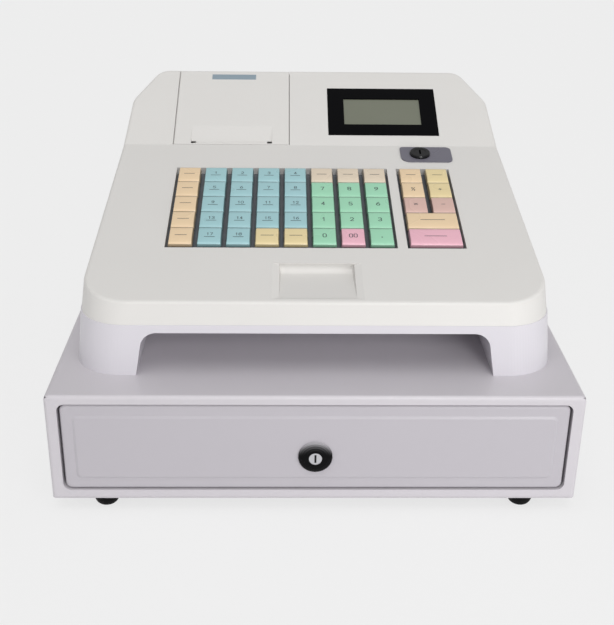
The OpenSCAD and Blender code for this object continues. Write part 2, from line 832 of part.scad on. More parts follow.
module latch_hook() color(c_zinc) {
  reach = latch_y - striker_y + 7;
  hub_r = latch_pin_r + 3;
  translate([0, latch_y, latch_z]) difference() {
    union() {
      rod_x(hub_r, -hook_t / 2 - 9, hook_t + 18);
      sideways([[0, -1], [0, 5], [-reach, 5], [-reach, -3.7], [-reach + 2.4, -3.7],
        [-reach + 3.4, -1]], -hook_t / 2, hook_t);
      // tail that the plunger lifts
      translate([-hook_t / 2, 0, -2]) cube([hook_t, solenoid_y - latch_y + 3, 4]);
    }
    rod_x(latch_pin_r + bore_gap, -bracket_half, 2 * bracket_half);
  }
}

module solenoid() color(c_black) {
  size_x = 22;
  size_y = 15;
  translate([0, solenoid_y, 0]) difference() {
    translate([-size_x / 2, -size_y / 2, pan_z1 + bracket_t])
      cube([size_x, size_y, solenoid_top - pan_z1 - bracket_t]);
    translate([0, 0, plunger_z]) cylinder(r = plunger_r + bore_gap, h = latch_h);
  }
}

module solenoid_plunger() color(c_zinc) {
  translate([0, solenoid_y, plunger_z + run_gap])
    cylinder(r = plunger_r, h = latch_z - 2 - plunger_z - 2 * run_gap);
}

module eject_spring() color(c_zinc) {
  x = cab_w / 5;
  y0 = tray_y1 + run_gap;
  y1 = rear_y - sheet_t;
  z = latch_z - 14;
  sides = 8;
  steps = 10;
  n = spring_turns * steps;
  pitch_len = y1 - y0 - 2 * spring_wire_r;
  pts = [for (i = [0:n]) let (a = 360 * i / steps, y = spring_wire_r + pitch_len * i / n)
    for (k = [0:sides - 1]) let (b = 360 * k / sides, r = spring_r + spring_wire_r * cos(b))
      [r * cos(a), y + spring_wire_r * sin(b), r * sin(a)]];
  faces = concat([[for (k = [0:sides - 1]) k]],
    [for (i = [0:n - 1], k = [0:sides - 1]) let (a = i * sides + k, b = i * sides + (k + 1) % sides)
      [a, a + sides, b + sides, b]],
    [[for (k = [sides - 1:-1:0]) n * sides + k]]);
  translate([x, y0, z]) polyhedron(pts, faces);
  // guide rod
  translate([x, y0, z]) rotate([-90, 0, 0])
    cylinder(r = spring_r - 2 * spring_wire_r - 1, h = y1 - y0);
  // seat on the rear wall
  translate([x, y1 - 1, z]) rotate([-90, 0, 0]) cylinder(r = spring_r + 3, h = 1);
}

// ---------------------------------------------------------------- register case

function half_at(z) = case_half - tan(side_draft) * (z - cab_z1);
function rear_at(z) = case_y1 - tan(rear_draft) * (z - cab_z1);
function front_at(z) = case_y0 + (z - cab_z1) * 0.5 / parting_h;

// Frames of the key plane, the head and the rear wall
module on_keys() translate([0, crease_y, crease_z]) rotate([key_slope, 0, 0]) children();
module on_head() translate([0, kink_y, kink_z]) rotate([head_slope, 0, 0]) children();
module on_rear() translate([0, case_y1, cab_z1]) rotate([rear_draft, 0, 0]) children();

// Plan of the case at level z as four pairs of discs, t inside the outer face
module plan_discs(z, t, front = true) {
  half = half_at(z);
  rear = rear_at(z);
  for (sx = [-1, 1]) {
    if (front)
      translate([sx * (half - case_corner_r), front_at(z) + case_corner_r, z])
        cylinder(r = case_corner_r - t, h = slice, $fn = 96);
    translate([sx * (half - rear_side_r), rear - rear_cut_y - 6, z])
      cylinder(r = rear_side_r - t, h = slice, $fn = 72);
    translate([sx * (half - rear_cut_x - rear_r / 2), rear - rear_r, z])
      cylinder(r = rear_r - t, h = slice);
  }
}

// A disc with a rounded upper edge, its top t below the plane
module puck(r, t) {
  e = max(case_edge_r - t, 0.3);
  for (a = [0:30:90])
    translate([0, 0, -t - e + e * sin(a)]) cylinder(r = r - t - e + e * cos(a), h = slice, $fn = 96);
}

module edge_ball(half, t) {
  e = max(case_edge_r - t, 0.3);
  for (sx = [-1, 1]) translate([sx * (half - t - e), 0, -t - e]) sphere(r = e, $fn = 16);
}

// Body under the key plane
module key_body(z, t) {
  z_corner = crease_z + case_corner_r * sin(key_slope);
  back = key_plane_len + 14;
  hull() {
    for (sx = [-1, 1]) {
      translate([sx * (half_at(z) - case_corner_r), front_at(z) + case_corner_r, z])
        cylinder(r = case_corner_r - t, h = slice, $fn = 96);
      translate([sx * (half_at(z) - t - 1), kink_y + 13, z]) cylinder(r = 1, h = slice, $fn = 12);
      on_keys() translate([sx * (half_at(z_corner) - case_corner_r), case_corner_r, 0])
        puck(case_corner_r, t);
    }
    on_keys() translate([0, back, 0]) edge_ball(half_at(crease_z + back * sin(key_slope)), t);
  }
}

// Body under the head
module head_body(z, t) {
  side_s = head_len - rear_cut_y / cos(head_slope) - 4;
  rear_s = ridge_s - rear_r;
  side_half = half_at(kink_z + side_s * sin(head_slope));
  rear_half = half_at(kink_z + rear_s * sin(head_slope));
  hull() {
    plan_discs(z, t, false);
    for (sx = [-1, 1]) {
      translate([sx * (half_at(z) - t - 1), kink_y + t, z]) cylinder(r = 1, h = slice, $fn = 12);
      on_head() translate([sx * (side_half - rear_side_r), side_s, 0]) puck(rear_side_r, t);
      on_head() translate([sx * (rear_half - rear_cut_x + 2 - rear_r / 2), rear_s, 0])
        puck(rear_r, t);
    }
    on_head() translate([0, t, 0]) edge_ball(half_at(kink_z), t);
  }
}

module lower_form(z0, z1, t) {
  hull() {
    plan_discs(z0, t);
    plan_discs(z1, t);
  }
}

// The arch between the legs, grown by g
module arch_cut(g) {
  lean = atan(arch_lean / arch_h);
  rise = arch_h - arch_r;
  x = arch_half - (rise + arch_r * sin(lean)) * tan(lean) - arch_r * cos(lean);
  r = arch_r + g;
  foot = x + r * cos(lean) + (rise + r * sin(lean) + 1) * tan(lean);
  translate([0, 0, cab_z1])
    upright(concat([[foot, -1]], arc(x, rise, r, lean, 90, 12), arc(-x, rise, r, 90, 180 - lean, 12),
      [[-foot, -1]]), case_y0 - 5, arch_d + 5 + g);
}

module lower_case() color(c_case) {
  difference() {
    lower_form(cab_z1, parting_z - slice, -parting_lip);
    difference() {
      lower_form(cab_z1 + case_wall, parting_z + 1, case_wall);
      arch_cut(case_wall);
    }
    arch_cut(0);
    // opening for the port panel
    on_rear() translate([port_x - port_w / 2 + port_lap, -case_wall - 3, port_z0 + port_lap])
      cube([port_w - 2 * port_lap, 10, port_h - 2 * port_lap]);
    // vents
    for (i = [0:7])
      on_rear() translate([-port_x - 35 + i * 10, -case_wall - 3, port_z0 + port_lap])
        cube([4, 10, port_h - 2 * port_lap]);
  }
  for (p = pcb_posts)
    translate([p[0], p[1], cab_z1 + case_wall - slice]) cylinder(r = 4, h = post_h);
}

module lid_cut() {
  x0 = lid_x0 - lid_gap;
  w = lid_x1 - lid_x0 + 2 * lid_gap;
  low = 2 * lid_knuckle_r + lid_gap;
  on_head() {
    sideways([[lid_gap, -9], [lid_gap, 4], [ridge_s + 4, 4], [ridge_s + 4, -low], [lid_pivot_s, -low],
      [lid_pivot_s - 6, -9]], x0, w);
    translate([0, lid_pivot_s, -lid_knuckle_r]) rod_x(lid_knuckle_r + lid_gap, x0, w);
  }
}

// The wells of both blocks, grown by g and from z0 to z1 off the key plane
module key_wells(g, z0, z1) on_keys()
  for (b = [[main_x, well_w], [right_x, right_w]])
    translate([b[0] - b[1] / 2 - g, well_s - well_d / 2 - g, z0])
      cube([b[1] + 2 * g, well_d + 2 * g, z1 - z0]);

// The finger notch, grown by g: a floor that falls towards a hollow rear wall, in a shallow border
module notch_cut(g) {
  s1 = notch_s0 + notch_len;
  back = s1 + notch_under;
  fall = atan((notch_depth - rim_t) / (back - notch_r - notch_s0));
  lip = acos((notch_r - notch_under) / notch_r);
  rear = g > 0 ? [[back + g, -notch_depth - g], [back + g, 3]]
    : concat(arc(back - notch_r, notch_r - notch_depth, notch_r, -90 - fall, lip, 12), [[s1, 3]]);
  side = notch_w / 2 + g;
  low = side - (notch_depth + g) * 0.14;
  on_keys() intersection() {
    sideways(concat([[notch_s0 - rim_t * 3 - g, 3], [notch_s0 - rim_t * 3 - g, -g],
      [notch_s0 - g, -rim_t - g]], rear), notch_x - side - rim_w, 2 * (side + rim_w));
    translate([notch_x, 0, 0]) upright([[-side - rim_w, 3], [-side - rim_w, -g], [-side, -rim_t - g],
      [-low, -notch_depth - g - 1], [low, -notch_depth - g - 1], [side, -rim_t - g],
      [side + rim_w, -g], [side + rim_w, 3]], 0, s1 + 10);
  }
}

module upper_case() color(c_case) {
  boss = 4;
  difference() {
    union() {
      difference() {
        union() {
          key_body(parting_z, 0);
          head_body(parting_z, 0);
        }
        key_body(parting_z - 2, case_wall);
        head_body(parting_z - 2, case_wall);
      }
      // tub under the finger notch
      intersection() {
        notch_cut(case_wall);
        key_body(parting_z, 1);
      }
      // ears that carry the printer lid's pins
      intersection() {
        on_head() for (x = [lid_x0 - lid_gap - boss, lid_x1 + lid_gap])
          translate([x, lid_pivot_s - 8, -14]) cube([boss, 17, 14]);
        head_body(parting_z, 1);
      }
      key_wells(well_wall, 0.05 - plate_depth, -1);
    }
    key_wells(0, -plate_depth - 1, 6);
    notch_cut(0);
    lid_cut();
    on_head() {
      translate([bezel_x - bezel_w / 2 - fit, bezel_s - bezel_d / 2 - fit, -9])
        cube([bezel_w + 2 * fit, bezel_d + 2 * fit, 18]);
      translate([0, lid_pivot_s, -lid_knuckle_r])
        rod_x(lid_pin_r + bore_gap, lid_x0 - lid_gap - boss - 1, lid_x1 - lid_x0 + 2 * boss + 3);
    }
    on_keys() translate([mode_lock_x, mode_s, -9]) cylinder(r = mode_barrel_r + fit, h = 18);
    // opening for the customer display
    on_rear() translate([cust_x - cust_w / 2 - fit, -9, cust_z - cust_h / 2 - fit])
      cube([cust_w + 2 * fit, 18, cust_h + 2 * fit]);
  }
}

// ---------------------------------------------------------------- display

module display_bezel() color(c_black) on_head() difference() {
  rim = 3;
  lip = 1.4;
  union() {
    translate([bezel_x - bezel_w / 2, bezel_s - bezel_d / 2, -case_wall - fit])
      cube([bezel_w, bezel_d, case_wall + fit + 0.4]);
    translate([bezel_x - bezel_w / 2 - rim, bezel_s - bezel_d / 2 - rim, -case_wall - fit - lip])
      cube([bezel_w + 2 * rim, bezel_d + 2 * rim, lip]);
  }
  translate([bezel_x - lcd_w / 2, bezel_s - lcd_d / 2, -10]) cube([lcd_w, lcd_d, 20]);
}

module lcd_module() color([0.5, 0.52, 0.45]) on_head() {
  top = -case_wall - fit - 1.4 - slice;
  translate([bezel_x - lcd_w / 2 + fit, bezel_s - lcd_d / 2 + fit, top - 3])
    cube([lcd_w - 2 * fit, lcd_d - 2 * fit, 2.2 - top]);
  translate([bezel_x - lcd_w / 2 - 4, bezel_s - lcd_d / 2 - 4, top - 3])
    cube([lcd_w + 8, lcd_d + 8, 3]);
  translate([bezel_x - lcd_w / 2 - 8, bezel_s - lcd_d / 2 - 8, top - 3 - board_t])
    cube([lcd_w + 16, lcd_d + 16, board_t]);
}

// ---------------------------------------------------------------- mode switch

module mode_plate() color([0.42, 0.41, 0.46]) on_keys() difference() {
  translate([mode_x, mode_s, slice]) linear_extrude(mode_plate_t)
    polygon(concat(arc(mode_w / 2 - 5, mode_d / 2 - 5, 5, 0, 90),
      arc(-mode_w / 2 + 3, mode_d / 2 - 3, 3, 90, 180),
      arc(-mode_w / 2 + 9, -mode_d / 2 + 9, 9, 180, 270),
      arc(mode_w / 2 - 5, -mode_d / 2 + 5, 5, 270, 360)));
  translate([mode_lock_x, mode_s, -1]) cylinder(r = mode_barrel_r + fit, h = 4);
}

module mode_barrel() color(c_black) on_keys() translate([mode_lock_x, mode_s, 0]) rotate_extrude()
  polygon([[mode_rotor_r + bore_gap, -mode_barrel_len], [mode_barrel_r, -mode_barrel_len],
    [mode_barrel_r, mode_plate_t + 2 * slice], [mode_r, mode_plate_t + 2 * slice],
    [mode_r, mode_plate_t + 1.6], [mode_r - 0.8, mode_plate_t + 2.6],
    [mode_rotor_r + bore_gap, mode_plate_t + 2.6]]);

module mode_rotor() color(c_zinc) on_keys() translate([mode_lock_x, mode_s, 0]) difference() {
  translate([0, 0, 2 - mode_barrel_len])
    cylinder(r = mode_rotor_r, h = mode_barrel_len + mode_plate_t + 0.4);
  translate([-0.8, -4, mode_plate_t - 4]) cube([1.6, 8, 10]);
}

// ---------------------------------------------------------------- keyboard

// Local middle of a key: column c from 0, row r from the front
function col_x(c) = main_x + (c - (block_cols - 1) / 2) * key_pitch_x;
function right_col_x(c) = right_x + (c - 0.5) * key_pitch_x;
function row_s(r) = first_row + r * key_pitch_y;

module key_places() {
  for (c = [0:block_cols - 1], r = [0:rows - 1]) translate([col_x(c), row_s(r), 0]) children();
  for (c = [0:1], r = [2:rows - 1]) translate([right_col_x(c), row_s(r), 0]) children();
  for (r = [0:1]) translate([right_x, row_s(r), 0]) children();
}

// Section through a key cap, half wide at the skirt
function cap_outline(half, taper) = let (top = half - taper - key_edge)
  [[-half, -key_skirt], [half, -key_skirt], [half - taper, key_top - key_edge], [top, key_top],
    [-top, key_top], [taper - half, key_top - key_edge]];

// One key cap with its stem, w wide at the skirt
module key(w, tint) color(tint) {
  intersection() {
    upright(cap_outline(w / 2, key_taper), -key_d / 2, key_d);
    sideways(cap_outline(key_d / 2, key_taper_y), -w / 2, w);
  }
  translate([-stem_w / 2, -stem_w / 2, -stem_bottom]) cube([stem_w, stem_w, stem_bottom]);
}

module key_column(c, tints)
  on_keys() for (r = [0:rows - 1]) translate([col_x(c), row_s(r), 0]) key(key_w, tints[r]);

module key_column_1() key_column(0, [c_peach, c_peach, c_peach, c_peach, c_peach]);
module key_column_2() key_column(1, [c_blue, c_blue, c_blue, c_blue, c_blue]);
module key_column_3() key_column(2, [c_blue, c_blue, c_blue, c_blue, c_blue]);
module key_column_4() key_column(3, [c_yellow, c_blue, c_blue, c_blue, c_blue]);
module key_column_5() key_column(4, [c_yellow, c_blue, c_blue, c_blue, c_blue]);
module key_column_6() key_column(5, [c_green, c_green, c_green, c_green, c_peach]);
module key_column_7() key_column(6, [c_pink, c_green, c_green, c_green, c_peach]);
module key_column_8() key_column(7, [c_green, c_green, c_green, c_green, c_peach]);

module keys_right() on_keys()
  for (c = [0:1], r = [2:rows - 1])
    translate([right_col_x(c), row_s(r), 0]) key(key_w, r == 2 ? c_pink : c_peach);

module key_wide_upper() on_keys() translate([right_x, row_s(1), 0]) key(wide_w, c_peach);
module key_wide_lower() on_keys() translate([right_x, row_s(0), 0]) key(wide_w, c_pink);

module key_plate() color(c_black) on_keys() difference() {
  between = (main_x + well_w / 2 + right_x - right_w / 2) / 2;
  union() {
    translate([board_x0, board_s0, -plate_depth - plate_t])
      cube([board_x1 - board_x0, board_len, plate_t]);
    // posts down to the mat
    for (x = [board_x0 + post_r, between, board_x1 - post_r],
      s = [board_s0 + post_r, board_s0 + board_len - post_r])
      translate([x, s, -mat_top]) cylinder(r = post_r, h = mat_top - plate_depth - plate_t / 2);
  }
  key_places() translate([-stem_w / 2 - run_gap, -stem_w / 2 - run_gap, -plate_depth - plate_t - 1])
    cube([stem_w + 2 * run_gap, stem_w + 2 * run_gap, plate_t + 2]);
}

module dome_mat() color([0.75, 0.76, 0.78]) on_keys() {
  translate([board_x0, board_s0, -mat_top - mat_t])
    cube([board_x1 - board_x0, board_len, mat_t]);
  key_places() translate([0, 0, -mat_top - slice]) cylinder(r1 = 5, r2 = 3, h = mat_top - dome_top);
}

module key_board() color(c_board) on_keys()
  translate([board_x0, board_s0, -mat_top - mat_t - slice - board_t])
    cube([board_x1 - board_x0, board_len, board_t]);

module main_board() color(c_board) {
  z = cab_z1 + case_wall + post_h;
  translate([pcb_x0, pcb_y0, z]) cube([pcb_w, pcb_d, board_t]);
  for (c = chips) translate([pcb_x0 + c[0], pcb_y0 + c[1], z + board_t]) cube([c[2], c[3], c[4]]);
}

// ---------------------------------------------------------------- rear panel

// A socket's shell behind the panel
module socket(s) {
  translate([port_x + s[0] - s[1] / 2 - 1, -s[3], port_z0 + port_h / 2 - s[2] / 2 - 1]) difference() {
    cube([s[1] + 2, s[3], s[2] + 2]);
    translate([1, 2, 1]) cube([s[1], s[3], s[2]]);
  }
}

module port_panel() color(c_zinc) on_rear() {
  t = port_t;
  wall = 1.5;
  y1 = -case_wall - fit;
  zc = port_z0 + port_h / 2;
  difference() {
    translate([port_x - port_w / 2, y1 - t, port_z0]) cube([port_w, t, port_h]);
    for (s = [power_in, drawer_out, data_out])
      translate([port_x + s[0] - s[1] / 2, y1 - t - 1, zc - s[2] / 2]) cube([s[1], t + 2, s[2]]);
    translate([switch_x - switch_w / 2 - run_gap, y1 - t - 1, zc - switch_h / 2 - run_gap])
      cube([switch_w + 2 * run_gap, t + 2, switch_h + 2 * run_gap]);
  }
  translate([0, y1 - t, 0]) {
    socket(power_in);
    socket(drawer_out);
    socket(data_out);
    // switch body
    translate([switch_x - switch_w / 2 - wall, -switch_box, zc - switch_h / 2 - wall]) difference() {
      cube([switch_w + 2 * wall, switch_box, switch_h + 2 * wall]);
      translate([wall - run_gap, t, wall - run_gap])
        cube([switch_w + 2 * run_gap, switch_box, switch_h + 2 * run_gap]);
      translate([0, switch_box + switch_pivot - y1 + t, switch_h / 2 + wall])
        rod_x(switch_pin_r + bore_gap, -1, switch_w + 2 * wall + 2);
    }
  }
}

module power_switch() color(c_black) on_rear()
  translate([switch_x - switch_w / 2, switch_pivot, port_z0 + port_h / 2]) {
    rotate([0, 90, 0]) linear_extrude(switch_w)
      polygon([[-3.6, 3.4], [-3.6, 7.4], [0, 6.2], [3.6, 6.6], [3.6, 3.4], [1.8, -2.4], [-1.8, -2.4]]);
    rod_x(switch_pin_r, -1.3, switch_w + 2.6);
  }

module customer_window() color([0.16, 0.12, 0.12]) on_rear() {
  rim = 3;
  translate([cust_x - cust_w / 2, -case_wall - fit, cust_z - cust_h / 2])
    cube([cust_w, case_wall + fit, cust_h]);
  translate([cust_x - cust_w / 2 - rim, -case_wall - fit - 1.4, cust_z - cust_h / 2 - rim])
    cube([cust_w + 2 * rim, 1.4, cust_h + 2 * rim]);
}

// ---------------------------------------------------------------- printer

// Spur gear outline: straight-flanked teeth, a tooth's middle at angle 0
function gear_outline(teeth) = let (r = gear_m * teeth / 2, step = 360 / teeth, w = step / 4 * 0.86)
  [for (i = [0:teeth - 1], p = [[-1.42 * w, -1.2], [-w * 1.02, 0], [-w * 0.55, 0.95],
    [w * 0.55, 0.95], [w * 1.02, 0], [1.42 * w, -1.2]])
    let (rr = r + p[1] * gear_m, a = i * step + p[0]) [rr * cos(a), rr * sin(a)]];

module platen_roller() color(c_black)
  translate([0, platen_y, platen_z]) {
    rod_x(platen_r, roll_x - roll_w / 2, roll_w);
    rod_x(platen_shaft_r, gear_x, chassis_x1 + chassis_t + 1 - gear_x);
  }

module platen_gear() color([0.85, 0.85, 0.82])
  translate([gear_x, platen_y, platen_z]) rotate([90, 0, 90]) rotate([0, 0, gear_line])
    linear_extrude(gear_w) difference() {
      polygon(gear_outline(platen_teeth));
      circle(r = platen_shaft_r + slice);
    }

module motor_gear() color([0.85, 0.85, 0.82])
  translate([gear_x, motor_y, motor_z]) rotate([90, 0, 90]) {
    rotate([0, 0, gear_line + 180 + 180 / motor_teeth])
      linear_extrude(gear_w) polygon(gear_outline(motor_teeth));
    translate([0, 0, -8]) cylinder(r = motor_shaft_r, h = 8);
  }

module printer_motor() color(c_zinc)
  translate([gear_x - run_gap - chassis_t - motor_len, motor_y, motor_z])
    rotate([0, 90, 0]) difference() {
      cylinder(r = motor_r, h = motor_len);
      translate([0, 0, 2]) cylinder(r = motor_shaft_r + bore_gap, h = motor_len);
    }

module printer_chassis() color(c_zinc) {
  floor_z = roll_z - roll_r - 4;
  front = chassis_y0;
  cheek = [[front, floor_z], [front, bar_z], [platen_y + 11, platen_z + 7],
    [platen_y + 17, cheek_low], [roll_y + roll_r, cheek_low], [roll_y + roll_r, floor_z]];
  difference() {
    union() {
      sideways(cheek, chassis_x0 - chassis_t, chassis_t);
      sideways(cheek, chassis_x1, chassis_t);
      translate([chassis_x0 - chassis_t, front, floor_z])
        cube([chassis_x1 - chassis_x0 + 2 * chassis_t, roll_y + roll_r - front, chassis_t]);
      // wall that the print head is fixed to
      translate([chassis_x0, front, floor_z])
        cube([chassis_x1 - chassis_x0, chassis_t, bar_z - floor_z]);
      // cradle that the roll lies in
      translate([chassis_x0, roll_y - roll_r + 1, floor_z])
        cube([chassis_x1 - chassis_x0, 2 * roll_r - 2, cradle_h]);
      // plate that carries the motor
      translate([gear_x - run_gap - chassis_t, front, floor_z])
        cube([chassis_t, 2 * platen_back, motor_z + motor_r + 3 - floor_z]);
      translate([gear_x - run_gap - chassis_t, front, floor_z])
        cube([chassis_x0 - gear_x + run_gap, 2 * platen_back, chassis_t]);
    }
    translate([0, roll_y, roll_z]) rod_x(roll_r + run_gap, chassis_x0, chassis_x1 - chassis_x0);
    translate([0, platen_y, platen_z])
      rod_x(platen_shaft_r + bore_gap, gear_x, chassis_x1 - gear_x + 5);
    translate([gear_x - run_gap - chassis_t - 1, motor_y, motor_z])
      rod_x(motor_shaft_r + bore_gap, 0, chassis_t + 2);
  }
  // legs down to the lower case
  for (x = [chassis_x0, chassis_x1 - leg_w], y = [front + 4, roll_y + roll_r - leg_w - 4])
    translate([x, y, cab_z1 + case_wall])
      cube([leg_w, leg_w, floor_z + chassis_t / 2 - cab_z1 - case_wall]);
}

module print_head() color(c_black)
  translate([roll_x - roll_w / 2, chassis_y0 + chassis_t + slice, platen_z - 2 * platen_r])
    cube([roll_w, platen_y - platen_r - run_gap - chassis_y0 - chassis_t - slice,
      bar_z - fit - platen_z + 2 * platen_r]);

module tear_bar() color(c_zinc)
  sideways([[chassis_y0, bar_z + slice], [chassis_y0, bar_z + 1.4], [chassis_y0 + 5, bar_z + 1.4],
    [platen_y - platen_r - 0.8, bar_z + 0.6], [platen_y - platen_r - 0.8, bar_z + slice]],
    roll_x - roll_w / 2 - 2, roll_w + 4);

module paper_roll() color([0.95, 0.95, 0.94])
  translate([roll_x - roll_w / 2, roll_y, roll_z]) rotate([0, 90, 0]) difference() {
    cylinder(r = roll_r, h = roll_w);
    translate([0, 0, -1]) cylinder(r = 6.5, h = roll_w + 2);
  }

module printer_lid() color(c_case) {
  w = lid_x1 - lid_x0;
  slot_s = 4.2;
  slot_t = 2.4;
  rib = 2;
  difference() {
    on_head() union() {
      sideways([[2 * lid_gap, -lid_t], [2 * lid_gap, 0], [lid_pivot_s, 0], [lid_pivot_s, -lid_t]],
        lid_x0, w);
      translate([0, lid_pivot_s, -lid_knuckle_r]) rod_x(lid_knuckle_r, lid_x0, w);
      translate([0, lid_pivot_s, -lid_knuckle_r])
        rod_x(lid_pin_r, lid_x0 - 3.5, w + 7);
      // thickened front behind the paper slot
      translate([roll_x - slot_w / 2 + 5, 2 * lid_gap, -lid_t - 1.2])
        cube([slot_w - 10, slot_ramp + 8, 2]);
      // stiffening ribs
      for (x = [lid_x0 + 4, lid_x1 - 4 - rib])
        translate([x, 6, -lid_t - 3]) cube([rib, lid_pivot_s - 12, 3]);
    }
    on_head() {
      // slope down to the slot
      sideways([[slot_s - slot_t / 2, -slot_ramp_depth], [slot_s - slot_t / 2, 2],
        [slot_s + slot_ramp, 2], [slot_s + slot_ramp, 0]], roll_x - slot_w / 2, slot_w);
      translate([roll_x - slot_w / 2, slot_s - slot_t / 2, -9]) cube([slot_w, slot_t, 12]);
      for (x = [roll_x - slot_w / 2, roll_x + slot_w / 2 - slot_end])
        translate([x, slot_s + 0.4 - slot_end / 2, -9]) cube([slot_end, slot_end, 12]);
      // bevelled sides
      for (x = [lid_x0, lid_x1])
        translate([x, 0, 0]) upright([[-lid_edge, 0], [0, -lid_edge], [lid_edge, 0], [0, lid_edge]],
          -1, ridge_s + 2);
    }
  }
}

// ---------------------------------------------------------------- assembly

cabinet_shell();
cabinet_base();
feet();
foot_screws();
rail_brackets();
rails_outer();
latch_bracket();
solenoid();
eject_spring();
rails_middle();
rails_inner();
drawer_tray();
drawer_front();
lock_housing();
lock_nut();
till_tray();
coin_tray();
clip_rod();
bill_clip_1();
bill_clip_2();
bill_clip_3();
bill_clip_4();
lock_plug();
lock_cam();
latch_hook();
solenoid_plunger();
lower_case();
upper_case();
display_bezel();
lcd_module();
mode_plate();
mode_barrel();
mode_rotor();
key_plate();
dome_mat();
key_board();
main_board();
port_panel();
power_switch();
customer_window();
printer_chassis();
print_head();
tear_bar();
printer_motor();
motor_gear();
platen_roller();
platen_gear();
paper_roll();
printer_lid();
key_column_1();
key_column_2();
key_column_3();
key_column_4();
key_column_5();
key_column_6();
key_column_7();
key_column_8();
keys_right();
key_wide_upper();
key_wide_lower();
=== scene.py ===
import math

import bpy
from mathutils import Matrix, Vector


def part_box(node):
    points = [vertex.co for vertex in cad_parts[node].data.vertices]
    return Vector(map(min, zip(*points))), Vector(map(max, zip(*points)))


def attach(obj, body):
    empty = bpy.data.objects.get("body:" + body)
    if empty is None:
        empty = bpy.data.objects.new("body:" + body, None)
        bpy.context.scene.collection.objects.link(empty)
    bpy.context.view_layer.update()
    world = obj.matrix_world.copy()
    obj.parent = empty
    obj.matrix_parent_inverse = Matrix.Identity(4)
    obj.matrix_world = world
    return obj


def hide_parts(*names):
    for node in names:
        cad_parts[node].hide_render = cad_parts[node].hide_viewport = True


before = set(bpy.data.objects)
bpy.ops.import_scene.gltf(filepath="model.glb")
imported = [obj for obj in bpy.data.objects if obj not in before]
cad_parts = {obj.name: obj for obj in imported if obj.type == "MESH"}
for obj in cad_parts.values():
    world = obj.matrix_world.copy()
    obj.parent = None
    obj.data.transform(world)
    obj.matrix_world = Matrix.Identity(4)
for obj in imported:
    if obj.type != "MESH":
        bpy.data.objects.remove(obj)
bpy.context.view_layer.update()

# Cabinet. A wrap of 1.2 mm steel sheet with a rolled front frame, spot-welded to a base pan that
# carries the rear wall. All of it is powder-coated in a pale lavender grey, with a faint orange
# peel.

MM = 0.001


def srgb(red, green, blue):
    """A colour as it is seen, from 0 to 255, as the light values that a shader takes."""
    seen = [part / 255 for part in (red, green, blue)]
    light = [part / 12.92 if part <= 0.04045 else ((part + 0.055) / 1.055) ** 2.4
             for part in seen]
    return (*light, 1.0)


def scaled(colour, by):
    """A colour made lighter or darker."""
    return (*[min(part * by, 1.0) for part in colour[:3]], 1.0)


def finish(name, colour, rough, metal=0.0, shade=0.03, grain=1.2, depth=0.01, smudge=0.06,
           gleam=0.5):
    """A surface with a faint cloudiness, a fine grain (size and depth in mm) and uneven gloss."""
    clouds_per_metre, cloud_detail = 11, 4
    patches_per_metre, patch_detail = 29, 1
    patch_starts, patch_full = 0.2, 0.8
    relief_share, relief_detail = 0.5, 2
    material = bpy.data.materials.new(name)
    material.use_nodes = True
    tree = material.node_tree
    shader = tree.nodes["Principled BSDF"]
    shader.inputs["Metallic"].default_value = metal
    shader.inputs["Specular IOR Level"].default_value = gleam
    place = tree.nodes.new("ShaderNodeTexCoord").outputs["Object"]

    def noise(scale, detail):
        node = tree.nodes.new("ShaderNodeTexNoise")
        node.inputs["Scale"].default_value = scale
        node.inputs["Detail"].default_value = detail
        tree.links.new(place, node.inputs["Vector"])
        return node.outputs["Fac"]

    tint = tree.nodes.new("ShaderNodeMix")
    tint.data_type = "RGBA"
    tint.inputs["A"].default_value = scaled(colour, 1 - shade)
    tint.inputs["B"].default_value = scaled(colour, 1 + shade)
    tree.links.new(noise(clouds_per_metre, cloud_detail), tint.inputs["Factor"])
    tree.links.new(tint.outputs["Result"], shader.inputs["Base Color"])

    gloss = tree.nodes.new("ShaderNodeMapRange")
    gloss.interpolation_type = "SMOOTHSTEP"
    gloss.inputs["From Min"].default_value = patch_starts
    gloss.inputs["From Max"].default_value = patch_full
    gloss.inputs["To Min"].default_value = max(rough - smudge, 0.02)
    gloss.inputs["To Max"].default_value = min(rough + smudge, 1.0)
    tree.links.new(noise(patches_per_metre, patch_detail), gloss.inputs["Value"])
    tree.links.new(gloss.outputs["Result"], shader.inputs["Roughness"])

    relief = tree.nodes.new("ShaderNodeBump")
    relief.inputs["Strength"].default_value = relief_share
    relief.inputs["Distance"].default_value = depth * MM
    tree.links.new(noise(1 / (grain * MM), relief_detail), relief.inputs["Height"])
    tree.links.new(relief.outputs["Normal"], shader.inputs["Normal"])
    return material


def dress(material, *names):
    """Gives a finish to nodes of the frame."""
    for name in names:
        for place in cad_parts[name].material_slots:
            place.material = material


cabinet_paint = finish("cabinet_paint", srgb(198, 194, 199), 0.36, shade=0.012, grain=1.4,
                       depth=0.03)
dress(cabinet_paint, "cabinet_shell", "cabinet_base")

# Feet. Four bowls moulded in black rubber, which keep the cabinet from sliding. Each is held by a
# zinc-plated pan-head screw that goes up into the base pan.

foot_rubber = finish("foot_rubber", srgb(9, 9, 10), 0.62, shade=0.1, grain=0.5, depth=0.02,
                     gleam=0.1)
zinc_plate = finish("zinc_plate", srgb(190, 192, 197), 0.34, metal=1.0, shade=0.06, grain=3.0,
                    depth=0.01)
dress(foot_rubber, "feet")
dress(zinc_plate, "foot_screws")

# Slides. Three-part ball-bearing slides of zinc-plated strip, riveted to hat brackets in the
# cabinet and to the drawer's sides.

rail_zinc = finish("rail_zinc", srgb(178, 181, 188), 0.3, metal=1.0, shade=0.08, grain=2.0,
                   depth=0.008)
dress(rail_zinc, "rail_brackets", "rails_outer", "rails_middle", "rails_inner")

